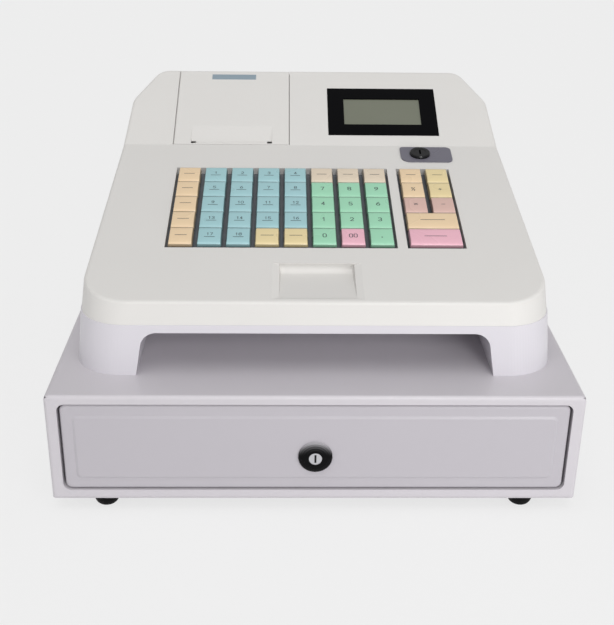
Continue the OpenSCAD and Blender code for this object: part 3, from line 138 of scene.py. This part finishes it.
# Release. A solenoid with a taped coil pulls the pressed steel latch hook off the drawer's striker,
# and a coil spring on a guide rod at the rear wall pushes the drawer open.

coil_wrap = finish("coil_wrap", srgb(42, 40, 44), 0.5, shade=0.08, grain=0.8, depth=0.02)
spring_steel = finish("spring_steel", srgb(150, 152, 156), 0.25, metal=1.0, shade=0.05, grain=0.8,
                      depth=0.004)
dress(coil_wrap, "solenoid")
dress(spring_steel, "eject_spring", "latch_hook", "solenoid_plunger")
dress(zinc_plate, "latch_bracket")

# Drawer. A folded steel tray behind a front whose field is pressed up, painted a shade darker
# than the cabinet is.

front_paint = finish("front_paint", srgb(181, 177, 183), 0.36, shade=0.012, grain=1.4, depth=0.03)
tray_steel = finish("tray_steel", srgb(186, 188, 192), 0.38, metal=1.0, shade=0.05, grain=4.0,
                    depth=0.01)
dress(front_paint, "drawer_front")
dress(tray_steel, "drawer_tray")

# Drawer lock. A cam lock in a glossy black ring, held from behind by a nut, with a chromed plug.
# The ring's upward-facing side is painted a lighter grey, a painted reflection of the light from
# above.

lock_black = finish("lock_black", srgb(15, 15, 17), 0.22, shade=0.05, grain=0.6, depth=0.003,
                    gleam=0.35)
lock_chrome = finish("lock_chrome", srgb(206, 206, 210), 0.16, metal=1.0, shade=0.03, grain=0.5,
                     depth=0.003)
lock_ring = finish("lock_ring", srgb(9, 9, 11), 0.22, shade=0.05, grain=0.6, depth=0.003,
                   gleam=0.08)
# Painted reflection: the faces of the ring that point up are mixed towards grey, the more the
# further up they face.
painted_sheen_grey = srgb(172, 170, 174)
sheen_starts, sheen_full = 0.05, 0.95
ring_tree = lock_ring.node_tree
ring_shader = ring_tree.nodes["Principled BSDF"]
surface = ring_tree.nodes.new("ShaderNodeNewGeometry")
facing = ring_tree.nodes.new("ShaderNodeSeparateXYZ")
ring_tree.links.new(surface.outputs["Normal"], facing.inputs["Vector"])
upward_sheen = ring_tree.nodes.new("ShaderNodeMapRange")
upward_sheen.interpolation_type = "SMOOTHSTEP"
upward_sheen.inputs["From Min"].default_value = sheen_starts
upward_sheen.inputs["From Max"].default_value = sheen_full
ring_tree.links.new(facing.outputs["Z"], upward_sheen.inputs["Value"])
sheen_painted = ring_tree.nodes.new("ShaderNodeMix")
sheen_painted.data_type = "RGBA"
sheen_painted.inputs["B"].default_value = painted_sheen_grey
ring_tree.links.new(upward_sheen.outputs["Result"], sheen_painted.inputs["Factor"])
ring_tree.links.new(ring_shader.inputs["Base Color"].links[0].from_socket, sheen_painted.inputs["A"])
ring_tree.links.new(sheen_painted.outputs["Result"], ring_shader.inputs["Base Color"])
dress(lock_ring, "lock_housing")
dress(lock_chrome, "lock_plug")


def add_bar(points, faces, low, high, floor, top, bevel):
    """A flat bar on a plane, with its top edges chamfered."""
    base = len(points)
    for up, inset in ((floor, 0), (top - bevel, 0), (top, bevel)):
        points.extend([(low[0] + inset, low[1] + inset, up), (high[0] - inset, low[1] + inset, up),
                       (high[0] - inset, high[1] - inset, up),
                       (low[0] + inset, high[1] - inset, up)])
    for ring in (base, base + 4):
        faces.extend((ring + k, ring + (k + 1) % 4, ring + 4 + (k + 1) % 4, ring + 4 + k)
                     for k in range(4))
    faces.append((base + 8, base + 9, base + 10, base + 11))
    faces.append((base + 3, base + 2, base + 1, base))


def make_piece(name, points, faces, plane, material, body):
    """Makes a mesh in millimetres on a plane of the object, and carries it on a body."""
    mesh = bpy.data.meshes.new(name)
    mesh.from_pydata([Vector(point) * MM for point in points], [], faces)
    mesh.transform(plane)
    mesh.materials.append(material)
    piece = bpy.data.objects.new(name, mesh)
    bpy.context.collection.objects.link(piece)
    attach(piece, body)


plug_low, plug_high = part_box("lock_plug")
plug_face = Vector((0, plug_low[1], (plug_low[2] + plug_high[2]) / 2))
lock_plane = Matrix.Translation(plug_face) @ Matrix.Rotation(math.pi / 2, 4, "X")
# Painted shade: a black bar set just inside the plug's keyway makes the slot read dark.
shade_half_wide, shade_half_high = 0.72, 3.3
shade_back, shade_front, shade_bevel = -6, -0.5, 0.1
points, faces = [], []
add_bar(points, faces, (-shade_half_wide, -shade_half_high), (shade_half_wide, shade_half_high),
        shade_back, shade_front, shade_bevel)
make_piece("keyway_shade", points, faces, lock_plane, lock_black, "drawer_key")
dress(zinc_plate, "lock_nut", "lock_cam")

# Till. Black moulded trays: four bays for notes at the back with sprung wire-rod clips, and rounded
# coin cups in front.

till_plastic = finish("till_plastic", srgb(34, 34, 36), 0.5, shade=0.08, grain=0.7, depth=0.03)
clip_steel = finish("clip_steel", srgb(196, 197, 200), 0.24, metal=1.0, shade=0.04, grain=1.5,
                    depth=0.006)
dress(till_plastic, "till_tray", "coin_tray")
dress(clip_steel, "clip_rod", *["bill_clip_%d" % number for number in range(1, 5)])

# Register case. Two shells moulded in off-white plastic with a fine spark texture, met at a joint
# line with a small lip.

case_plastic = finish("case_plastic", srgb(216, 214, 211), 0.46, shade=0.012, grain=0.6,
                      depth=0.02)
skirt_plastic = finish("skirt_plastic", srgb(212, 209, 215), 0.4, shade=0.012, grain=0.6,
                       depth=0.02)
dress(case_plastic, "upper_case")
dress(skirt_plastic, "lower_case")

# Printer lid. Same plastic as the case, with the slope down to the paper slot, a lip that guides
# the paper out of the slot, and a blue-grey strip glued on at its rear edge.

dress(case_plastic, "printer_lid")

head_slope = math.radians(26)
head_foot = Vector((0, 72.97, 218.02)) * MM
head_plane = Matrix.Translation(head_foot) @ Matrix.Rotation(head_slope, 4, "X")
strip_grey = finish("strip_grey", srgb(136, 152, 163), 0.4, shade=0.03, grain=0.6, depth=0.01)
strip_low, strip_high = (-97.3, 97.0), (-53.7, 104.6)
strip_under, strip_over, strip_bevel = -0.4, 0.35, 0.2
points, faces = [], []
add_bar(points, faces, strip_low, strip_high, strip_under, strip_over, strip_bevel)
make_piece("lid_strip", points, faces, head_plane, strip_grey, "lid")
lip_low, lip_high = (-107.5, 3.5), (-41.5, 4.9)
lip_under, lip_over, lip_bevel = -3.2, -0.25, 0.3
points, faces = [], []
add_bar(points, faces, lip_low, lip_high, lip_under, lip_over, lip_bevel)
make_piece("slot_lip", points, faces, head_plane, case_plastic, "lid")

# Display. A bezel moulded in glossy black plastic snaps into the case's head, over a module whose
# liquid crystal window is a grey-green glass.

bezel_black = finish("bezel_black", srgb(8, 8, 10), 0.14, shade=0.04, grain=0.8, depth=0.002,
                     gleam=0.05)
lcd_green = finish("lcd_green", srgb(114, 117, 103), 0.22, shade=0.05, grain=0.5, depth=0.003)
dress(bezel_black, "display_bezel")
dress(lcd_green, "lcd_module")

# Mode switch. A moulded grey plate lies in the key deck and holds a key lock with a black barrel,
# whose rotor turns between the register's modes.

mode_grey = finish("mode_grey", srgb(108, 106, 117), 0.3, shade=0.06, grain=0.6, depth=0.01)
dress(mode_grey, "mode_plate")
dress(lock_black, "mode_barrel", "mode_rotor")

# Key bed. A grey moulded plate guides the keys' stems over a mat of silicone domes. The key board
# lies under the mat and the main board below that, both lacquered green.

plate_grey = finish("plate_grey", srgb(98, 102, 107), 0.5, shade=0.06, grain=0.6, depth=0.02)
dome_silicone = finish("dome_silicone", srgb(196, 198, 202), 0.5, shade=0.03, grain=0.6,
                       depth=0.01)
board_lacquer = finish("board_lacquer", srgb(34, 96, 58), 0.3, shade=0.1, grain=1.0, depth=0.02)
dress(plate_grey, "key_plate")
dress(dome_silicone, "dome_mat")
dress(board_lacquer, "key_board", "main_board")

# Rear. A plated steel panel with the sockets and the rocker of the power switch is set into the
# lower case, and the customer's display has a dark tinted window in the upper one.

socket_plate = finish("socket_plate", srgb(170, 172, 176), 0.36, metal=1.0, shade=0.05)
window_tint = finish("window_tint", srgb(34, 20, 20), 0.1, shade=0.05, grain=0.6, depth=0.002,
                     gleam=0.4)
dress(socket_plate, "port_panel")
dress(window_tint, "customer_window")
switch_black = finish("switch_black", srgb(26, 26, 28), 0.4, shade=0.06, grain=0.6, depth=0.01)
dress(switch_black, "power_switch")

# Printer. A thermal printer on a chassis folded from zinc-plated sheet, with a head, a tear bar, a
# rubber platen roller that nylon gears drive from the motor, and a roll of white paper.

chassis_zinc = finish("chassis_zinc", srgb(184, 186, 190), 0.35, metal=1.0, shade=0.06, grain=2.5,
                      depth=0.01)
gear_nylon = finish("gear_nylon", srgb(228, 228, 220), 0.4, shade=0.03, grain=0.5, depth=0.01)
roll_paper = finish("roll_paper", srgb(240, 240, 237), 0.8, shade=0.02, grain=0.4, depth=0.02)
dress(chassis_zinc, "printer_chassis", "printer_motor", "tear_bar")
dress(gear_nylon, "platen_gear", "motor_gear")
dress(foot_rubber, "platen_roller")
dress(switch_black, "print_head")
dress(roll_paper, "paper_roll")

# Keys. Forty-eight low caps of tinted plastic, each on a square stem. A cap rolls down towards its
# front edge and is rounded all round, and its figure or sign is printed on top. The keys of one
# column are one piece, as they are in the frame.

deck_slope = math.radians(13)
deck_foot = Vector((0, -167.5, 162.5)) * MM
key_plane = Matrix.Translation(deck_foot) @ Matrix.Rotation(deck_slope, 4, "X")
key_pitch = 23.7, 24.9
key_width, wide_width = 20.2, 43.9
key_depth, key_skirt, key_top = 23.5, -1.4, 2.6
key_lean, key_round, key_end = 0.9, 0.7, 1.6
front_row, block_middle, right_middle = 89.5, -26.9, 100.6
row_of = [front_row + row * key_pitch[1] for row in range(5)]
column_of = [block_middle + (column - 3.5) * key_pitch[0] for column in range(8)]
right_of = [right_middle - key_pitch[0] / 2, right_middle + key_pitch[0] / 2]

key_tints = {"peach": (230, 204, 168), "sand": (220, 205, 184), "blue": (158, 198, 203),
             "yellow": (226, 208, 160), "green": (156, 212, 180), "pink": (232, 180, 194),
             "rose": (212, 178, 168)}
# Painted shade: each key plastic gets a copy at half its brightness, for the caps' sides, ends and
# stems.
rim_painted_shade = 0.5
key_plastics = {name: finish("key_" + name, srgb(*tint), 0.3, shade=0.02, grain=0.5, depth=0.006)
                for name, tint in key_tints.items()}
key_shaded_rims = {name: finish("key_rim_painted_shade_" + name, scaled(srgb(*tint), rim_painted_shade), 0.3, shade=0.02,
                          grain=0.5, depth=0.006)
             for name, tint in key_tints.items()}
key_ink = finish("key_ink", srgb(62, 66, 72), 0.5, shade=0.05, grain=0.4, depth=0.002)

# Figures and signs as strokes in a box one wide and two high.
signs = {
    "0": [[(.25, 0), (0, .35), (0, 1.65), (.25, 2), (.75, 2), (1, 1.65), (1, .35), (.75, 0),
           (.25, 0)]],
    "1": [[(.2, 1.6), (.55, 2), (.55, 0)]],
    "2": [[(0, 1.6), (.25, 2), (.75, 2), (1, 1.6), (1, 1.2), (0, 0), (1, 0)]],
    "3": [[(0, 1.8), (.25, 2), (.75, 2), (1, 1.7), (1, 1.35), (.7, 1.08), (.4, 1.08)],
          [(.7, 1.08), (1, .75), (1, .3), (.75, 0), (.25, 0), (0, .25)]],
    "4": [[(.75, 0), (.75, 2), (0, .6), (1, .6)]],
    "5": [[(1, 2), (.1, 2), (0, 1.1), (.7, 1.2), (1, .85), (1, .3), (.75, 0), (.25, 0), (0, .25)]],
    "6": [[(.9, 2), (.35, 1.6), (0, .9), (0, .3), (.25, 0), (.75, 0), (1, .3), (1, .75),
           (.75, 1.05), (.25, 1.05), (0, .75)]],
    "7": [[(0, 2), (1, 2), (.35, 0)]],
    "8": [[(.25, 1.08), (0, 1.4), (0, 1.7), (.25, 2), (.75, 2), (1, 1.7), (1, 1.4), (.75, 1.08),
           (.25, 1.08), (0, .8), (0, .3), (.25, 0), (.75, 0), (1, .3), (1, .8), (.75, 1.08)]],
    "9": [[(.1, 0), (.65, .4), (1, 1.1), (1, 1.7), (.75, 2), (.25, 2), (0, 1.7), (0, 1.25),
           (.25, .95), (.75, .95), (1, 1.25)]],
    ".": [[(.4, 0), (.6, 0), (.6, .2), (.4, .2), (.4, 0)]],
    "+": [[(0, 1), (1, 1)], [(.5, .5), (.5, 1.5)]],
    "-": [[(0, 1), (1, 1)]],
    "x": [[(0, .5), (1, 1.5)], [(0, 1.5), (1, .5)]],
    "=": [[(0, .75), (1, .75)], [(0, 1.25), (1, 1.25)]],
    "%": [[(0, 0), (1, 2)], [(0, 1.7), (.15, 2), (.3, 1.7), (.15, 1.4), (0, 1.7)],
          [(.7, .3), (.85, .6), (1, .3), (.85, 0), (.7, .3)]],
}


def cap_height(along):
    """Height of a cap's top over the key plane, at a distance from the cap's front edge."""
    front_fall, front_run = 1.1, 8
    rear_fall, rear_start, rear_run = 0.4, 17, 6.5
    front = front_fall * max(1 - along / front_run, 0) ** 2
    rear = rear_fall * max((along - rear_start) / rear_run, 0) ** 2
    return key_top - front - rear


def add_cap(points, faces, inks, x, s, width, ink):
    """Lofts one cap from its front edge to its rear edge, and sets its stem below it."""
    plan_round = 1.3
    stem_half, stem_foot = 4, -10.1
    brow_turns = 0, math.pi / 6, math.pi / 3, math.pi / 2
    ends = [0, 0.12, 0.4, 0.8, plan_round]
    middles = [2.5, 4, 6, 8, 12, 17, 19.5, 21]
    stations = ends + middles + [key_depth - end for end in reversed(ends)]

    def fall(radius, near):
        """How far a rounding of this radius falls off, at a distance from its outer end."""
        return radius - math.sqrt(max(radius ** 2 - (radius - min(near, radius)) ** 2, 0))

    first = len(points)
    for along in stations:
        near = min(along, key_depth - along)
        corner = fall(plan_round, near)
        top = cap_height(along) - fall(key_end, near)
        half = width / 2 - corner
        brow = half - key_lean * (top - key_round - key_skirt) / (key_top - key_skirt)
        side = [(half, key_skirt)] + [
            (brow - key_round + key_round * math.cos(turn),
             top - key_round + key_round * math.sin(turn)) for turn in brow_turns]
        for across, up in side + [(-across, up) for across, up in reversed(side)]:
            points.append((x + across, s - key_depth / 2 + along, up))
    count = 2 * (1 + len(brow_turns))
    last = first + (len(stations) - 1) * count
    for place, ring in enumerate(range(first, last, count)):
        for k in range(count):
            turn = (k + 1) % count
            faces.append((ring + k, ring + turn, ring + count + turn, ring + count + k))
            # The front and rear end bands, the sides and the bottom take the painted-shade copy of
            # the plastic.
            shaded_rim = min(place, len(stations) - 2 - place) < 2 or k in (0, count - 2, count - 1)
            inks.append(ink + 1 if shaded_rim else ink)
    faces.append(tuple(range(first + count - 1, first - 1, -1)))
    faces.append(tuple(range(last, last + count)))
    stem = len(points)
    for up in (key_skirt, stem_foot):
        points.extend((x + across * stem_half, s + along * stem_half, up)
                      for across, along in ((-1, -1), (1, -1), (1, 1), (-1, 1)))
    faces.extend((stem + k, stem + (k + 1) % 4, stem + 4 + (k + 1) % 4, stem + 4 + k)
                 for k in range(4))
    faces.append((stem + 4, stem + 5, stem + 6, stem + 7))
    # The stem takes the painted-shade copy of the plastic too.
    inks.extend([ink + 1] * (len(faces) - len(inks)))


def add_stroke(points, faces, inks, x, s, start, end, thick, ink):
    """Prints one straight stroke on the cap whose middle is at x, s."""
    ink_height = 0.03
    run = Vector(end) - Vector(start)
    run = run.normalized() * thick / 2
    side = Vector((-run.y, run.x))
    for corner in (Vector(start) - run - side, Vector(end) + run - side, Vector(end) + run + side,
                   Vector(start) - run + side):
        up = cap_height(corner.y + key_depth / 2) + ink_height
        points.append((x + corner.x, s + corner.y, up))
    count = len(points)
    faces.append((count - 4, count - 3, count - 2, count - 1))
    inks.append(ink)


def add_sign(points, faces, inks, x, s, sign, ink, high, lift):
    """Prints figures or signs in the middle of a cap."""
    figure_share, step_share, stroke_share = 0.55, 1.45, 0.14
    wide = high * figure_share
    step = wide * step_share
    left = -(len(sign) - 1) * step / 2 - wide / 2
    for place, figure in enumerate(sign):
        for line in signs[figure]:
            spots = [(left + place * step + across * wide, lift + (up - 1) * high / 2)
                     for across, up in line]
            for start, end in zip(spots, spots[1:]):
                add_stroke(points, faces, inks, x, s, start, end, high * stroke_share, ink)


def make_keys(node, body, keys):
    """Makes the caps of one body: each one's place, width, plastic, sign and length of line."""
    alone, over_line = (4.8, 0), (3.6, 1.4)
    line_drop, line_thick = -2.6, 0.7
    sharp_from = math.radians(40)
    points, faces, inks, plastics = [], [], [], []
    for x, s, width, plastic, sign, line in keys:
        if plastic not in plastics:
            plastics.append(plastic)
        add_cap(points, faces, inks, x, s, width, plastics.index(plastic) * 2)
    ink = len(plastics) * 2
    for x, s, width, plastic, sign, line in keys:
        add_sign(points, faces, inks, x, s, sign, ink, *(over_line if line else alone))
        if line:
            low = line_drop if sign else 0.0
            add_stroke(points, faces, inks, x, s, (-line / 2, low), (line / 2, low), line_thick,
                       ink)
    mesh = bpy.data.meshes.new(node + "_caps")
    mesh.from_pydata([Vector(point) * MM for point in points], [], faces)
    mesh.transform(key_plane)
    for plastic in plastics:
        mesh.materials.append(key_plastics[plastic])
        mesh.materials.append(key_shaded_rims[plastic])
    mesh.materials.append(key_ink)
    mesh.polygons.foreach_set("material_index", inks)
    mesh.polygons.foreach_set("use_smooth", [True] * len(mesh.polygons))
    mesh.set_sharp_from_angle(angle=sharp_from)
    caps = bpy.data.objects.new(node + "_caps", mesh)
    bpy.context.collection.objects.link(caps)
    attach(caps, body)
    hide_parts(node)


columns = [
    [("peach", "", 9)] * 5,
    [("blue", number, 8) for number in ("17", "13", "9", "5", "1")],
    [("blue", number, 8) for number in ("18", "14", "10", "6", "2")],
    [("yellow", "", 10)] + [("blue", number, 8) for number in ("15", "11", "7", "3")],
    [("yellow", "", 10)] + [("blue", number, 8) for number in ("16", "12", "8", "4")],
    [("green", "0", 0), ("green", "1", 0), ("green", "4", 0), ("green", "7", 0), ("sand", "", 8)],
    [("pink", "00", 0), ("green", "2", 0), ("green", "5", 0), ("green", "8", 0), ("sand", "", 8)],
    [("green", ".", 0), ("green", "3", 0), ("green", "6", 0), ("green", "9", 0), ("sand", "", 8)],
]
for column, caps in enumerate(columns):
    make_keys("key_column_%d" % (column + 1), "column_%d" % (column + 1),
              [(column_of[column], row_of[row], key_width, *cap) for row, cap in enumerate(caps)])
pairs = [(("rose", "x", 0), ("rose", "-", 0)), (("peach", "%", 0), ("yellow", "+", 0)),
         (("peach", "", 8), ("yellow", "", 8))]
make_keys("keys_right", "right_keys",
          [(right_of[side], row_of[row], key_width, *cap)
           for row, pair in enumerate(pairs, 2) for side, cap in enumerate(pair)])
make_keys("key_wide_upper", "upper_wide_key",
          [(right_middle, row_of[1], wide_width, "peach", "", 20)])
make_keys("key_wide_lower", "lower_wide_key",
          [(right_middle, row_of[0], wide_width, "pink", "", 18)])

# Floor, light and camera. The object stands on a white paper floor that runs into a white wall. A
# low sun from the front, a wide one from above and a small panel at the right light it, all soft.

paper_white, wall_white = srgb(238, 238, 238), srgb(241, 241, 241)
floor_half = 6.0
floor_mesh = bpy.data.meshes.new("floor")
floor_mesh.from_pydata([(-floor_half, -floor_half, 0), (floor_half, -floor_half, 0),
                        (floor_half, floor_half, 0), (-floor_half, floor_half, 0)],
                       [], [(0, 1, 2, 3)])
floor = bpy.data.objects.new("floor", floor_mesh)
bpy.context.collection.objects.link(floor)
floor_pale = bpy.data.materials.new("floor_pale")
floor_pale.use_nodes = True
paper = floor_pale.node_tree
paper_shader = paper.nodes["Principled BSDF"]
paper_shader.inputs["Base Color"].default_value = paper_white
paper_shader.inputs["Roughness"].default_value = 1.0
paper_shader.inputs["Specular IOR Level"].default_value = 0.0


def seen_share(tree, share):
    """The share of a plain backdrop that the camera, or a reflection, sees in a surface."""
    rays = tree.nodes.new("ShaderNodeLightPath")
    total = None
    for kind in ("Is Camera Ray", "Is Glossy Ray", "Is Transmission Ray"):
        if total is None:
            total = rays.outputs[kind]
            continue
        add = tree.nodes.new("ShaderNodeMath")
        add.operation = "MAXIMUM"
        tree.links.new(total, add.inputs[0])
        tree.links.new(rays.outputs[kind], add.inputs[1])
        total = add.outputs["Value"]
    part = tree.nodes.new("ShaderNodeMath")
    part.operation = "MULTIPLY"
    part.inputs[1].default_value = share
    tree.links.new(total, part.inputs[0])
    return part.outputs["Value"]


backdrop_share = 0.8
backdrop = paper.nodes.new("ShaderNodeEmission")
backdrop.inputs["Color"].default_value = wall_white
blend = paper.nodes.new("ShaderNodeMixShader")
paper.links.new(seen_share(paper, backdrop_share), blend.inputs["Fac"])
paper.links.new(paper_shader.outputs["BSDF"], blend.inputs[1])
paper.links.new(backdrop.outputs["Emission"], blend.inputs[2])
paper.links.new(blend.outputs["Shader"], paper.nodes["Material Output"].inputs["Surface"])
floor_mesh.materials.append(floor_pale)

world_strength = 0.5
world = bpy.data.worlds.new("studio")
bpy.context.scene.world = world
world.use_nodes = True
sky = world.node_tree
sky.nodes["Background"].inputs["Color"].default_value = wall_white
sky.nodes["Background"].inputs["Strength"].default_value = world_strength
white = sky.nodes.new("ShaderNodeBackground")
white.inputs["Color"].default_value = wall_white
wall = sky.nodes.new("ShaderNodeMixShader")
sky_rays = sky.nodes.new("ShaderNodeLightPath")
sky.links.new(sky_rays.outputs["Is Camera Ray"], wall.inputs["Fac"])
sky.links.new(sky.nodes["Background"].outputs["Background"], wall.inputs[1])
sky.links.new(white.outputs["Background"], wall.inputs[2])
sky.links.new(wall.outputs["Shader"], sky.nodes["World Output"].inputs["Surface"])


def lamp(name, turn, height, strength, spread):
    """A distant soft light, turned from the front to the right and raised, in degrees."""
    light = bpy.data.lights.new(name, "SUN")
    light.energy = strength
    light.angle = math.radians(spread)
    holder = bpy.data.objects.new(name, light)
    bpy.context.collection.objects.link(holder)
    across, up = math.radians(turn), math.radians(height)
    towards = Vector((math.sin(across) * math.cos(up), -math.cos(across) * math.cos(up),
                      math.sin(up)))
    holder.rotation_euler = towards.to_track_quat("Z", "Y").to_euler()


lamp("front_light", turn=8, height=29, strength=0.8, spread=14)
lamp("top_light", turn=-10, height=72, strength=0.92, spread=50)

panel = bpy.data.lights.new("side_panel", "AREA")
panel.energy = 3.2
panel.size = 0.5
holder = bpy.data.objects.new("side_panel", panel)
bpy.context.collection.objects.link(holder)
panel_aim = Vector((0, -0.2, 0.08))
holder.location = (0.55, -1.1, 0.3)
holder.rotation_euler = (holder.location - panel_aim).to_track_quat("Z", "Y").to_euler()

pitch, yaw, roll = math.radians(24.565), math.radians(1.252), math.radians(0.718)
eye = Vector((-23.2, -909.0, 493.8)) * MM
picture_height = 625
focal_pixels = 1069.5
lens = bpy.data.cameras.new("camera")
lens.sensor_fit = "VERTICAL"
lens.sensor_height = 36
lens.lens = focal_pixels / picture_height * lens.sensor_height
camera = bpy.data.objects.new("camera", lens)
bpy.context.collection.objects.link(camera)
camera.matrix_world = (Matrix.Translation(eye) @ Matrix.Rotation(-yaw, 4, "Z")
                       @ Matrix.Rotation(math.pi / 2 - pitch, 4, "X")
                       @ Matrix.Rotation(roll, 4, "Z"))
bpy.context.scene.camera = camera
bpy.context.scene.view_settings.view_transform = "Standard"
